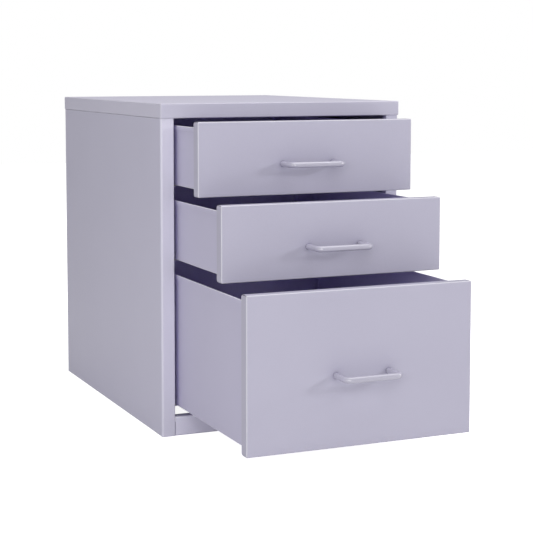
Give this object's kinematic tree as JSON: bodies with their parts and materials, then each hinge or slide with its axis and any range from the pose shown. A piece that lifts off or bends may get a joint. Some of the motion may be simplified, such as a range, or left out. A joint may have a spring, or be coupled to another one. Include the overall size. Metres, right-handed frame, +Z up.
{
  "type": "drawer pedestal cabinet",
  "caption": "Low steel office pedestal with inset drawers on roller runners, bent rod handles and an overhanging lid, drawers stepped open.",
  "frame": {"origin": "on the floor, in the middle of the front rail's foot flange, under the plane of the closed drawer fronts", "axes": "+Z up, +Y to the back, +X to the right as seen from the front"},
  "size_m": [0.398, 0.8233, 0.5],
  "materials": {
    "cabinet_paint": "fine satin powder coat",
    "front_paint": "fine satin powder coat",
    "tray_paint": "fine satin powder coat",
    "handle_paint": "smoother satin powder coat",
    "zinc_steel": "bright zinc plate",
    "roller_nylon": "natural nylon",
    "pad_nylon": "natural nylon",
    "buffer_rubber": "matt"
  },
  "bodies": {
    "cabinet": {"back_panel": "cabinet_paint", "back_screws": "zinc_steel", "bottom_runner_left": "cabinet_paint", "bottom_runner_right": "cabinet_paint", "castor_nuts": "zinc_steel", "corner_plate_front_left": "cabinet_paint", "corner_plate_front_right": "cabinet_paint", "corner_plate_rear_left": "cabinet_paint", "corner_plate_rear_right": "cabinet_paint", "front_rail": "cabinet_paint", "glide_pads": "pad_nylon", "lid_screws": "zinc_steel", "middle_runner_left": "cabinet_paint", "middle_runner_right": "cabinet_paint", "rear_buffers": "buffer_rubber", "rear_rail": "cabinet_paint", "side_panel_left": "cabinet_paint", "side_panel_right": "cabinet_paint", "top_panel": "cabinet_paint", "top_runner_left": "cabinet_paint", "top_runner_right": "cabinet_paint"},
    "top_drawer": {"top_back_rivets": "zinc_steel", "top_back_wall": "tray_paint", "top_front": "front_paint", "top_front_liner": "front_paint", "top_front_screws": "zinc_steel", "top_handle": "handle_paint", "top_handle_screws": "zinc_steel", "top_roller_axles": "zinc_steel", "top_tray": "tray_paint"},
    "top_wheel_left": {"top_roller_left": "roller_nylon"},
    "top_wheel_right": {"top_roller_right": "roller_nylon"},
    "middle_drawer": {"middle_back_rivets": "zinc_steel", "middle_back_wall": "tray_paint", "middle_front": "front_paint", "middle_front_liner": "front_paint", "middle_front_screws": "zinc_steel", "middle_handle": "handle_paint", "middle_handle_screws": "zinc_steel", "middle_roller_axles": "zinc_steel", "middle_tray": "tray_paint"},
    "middle_wheel_left": {"middle_roller_left": "roller_nylon"},
    "middle_wheel_right": {"middle_roller_right": "roller_nylon"},
    "bottom_drawer": {"bottom_back_rivets": "zinc_steel", "bottom_back_wall": "tray_paint", "bottom_front": "front_paint", "bottom_front_liner": "front_paint", "bottom_front_screws": "zinc_steel", "bottom_handle": "handle_paint", "bottom_handle_screws": "zinc_steel", "bottom_roller_axles": "zinc_steel", "bottom_tray": "tray_paint"},
    "bottom_wheel_left": {"bottom_roller_left": "roller_nylon"},
    "bottom_wheel_right": {"bottom_roller_right": "roller_nylon"}
  },
  "joints": [
    {"name": "top_drawer_slide", "type": "slide", "parent": "cabinet", "child": "top_drawer", "axis": [0, -1, 0], "range_m": [-0.0887, 0.3013]},
    {"name": "top_wheel_left_spin", "type": "hinge", "parent": "top_drawer", "child": "top_wheel_left", "pos_m": [-0.1815, 0.3878, 0.3897], "axis": [1, 0, 0], "continuous": true},
    {"name": "top_wheel_right_spin", "type": "hinge", "parent": "top_drawer", "child": "top_wheel_right", "pos_m": [0.1815, 0.3878, 0.3897], "axis": [1, 0, 0], "continuous": true},
    {"name": "middle_drawer_slide", "type": "slide", "parent": "cabinet", "child": "middle_drawer", "axis": [0, -1, 0], "range_m": [-0.1774, 0.2126]},
    {"name": "middle_wheel_left_spin", "type": "hinge", "parent": "middle_drawer", "child": "middle_wheel_left", "pos_m": [-0.1815, 0.2991, 0.2778], "axis": [1, 0, 0], "continuous": true},
    {"name": "middle_wheel_right_spin", "type": "hinge", "parent": "middle_drawer", "child": "middle_wheel_right", "pos_m": [0.1815, 0.2991, 0.2778], "axis": [1, 0, 0], "continuous": true},
    {"name": "bottom_drawer_slide", "type": "slide", "parent": "cabinet", "child": "bottom_drawer", "axis": [0, -1, 0], "range_m": [-0.2661, 0.1239]},
    {"name": "bottom_wheel_left_spin", "type": "hinge", "parent": "bottom_drawer", "child": "bottom_wheel_left", "pos_m": [-0.1815, 0.2104, 0.0558], "axis": [1, 0, 0], "continuous": true},
    {"name": "bottom_wheel_right_spin", "type": "hinge", "parent": "bottom_drawer", "child": "bottom_wheel_right", "pos_m": [0.1815, 0.2104, 0.0558], "axis": [1, 0, 0], "continuous": true}
  ],
  "couplings": [
    {"joint": "top_wheel_left_spin", "follows": "top_drawer_slide", "rad_per_m": 74.074},
    {"joint": "top_wheel_right_spin", "follows": "top_drawer_slide", "rad_per_m": 74.074},
    {"joint": "middle_wheel_left_spin", "follows": "middle_drawer_slide", "rad_per_m": 74.074},
    {"joint": "middle_wheel_right_spin", "follows": "middle_drawer_slide", "rad_per_m": 74.074},
    {"joint": "bottom_wheel_left_spin", "follows": "bottom_drawer_slide", "rad_per_m": 74.074},
    {"joint": "bottom_wheel_right_spin", "follows": "bottom_drawer_slide", "rad_per_m": 74.074}
  ]
}
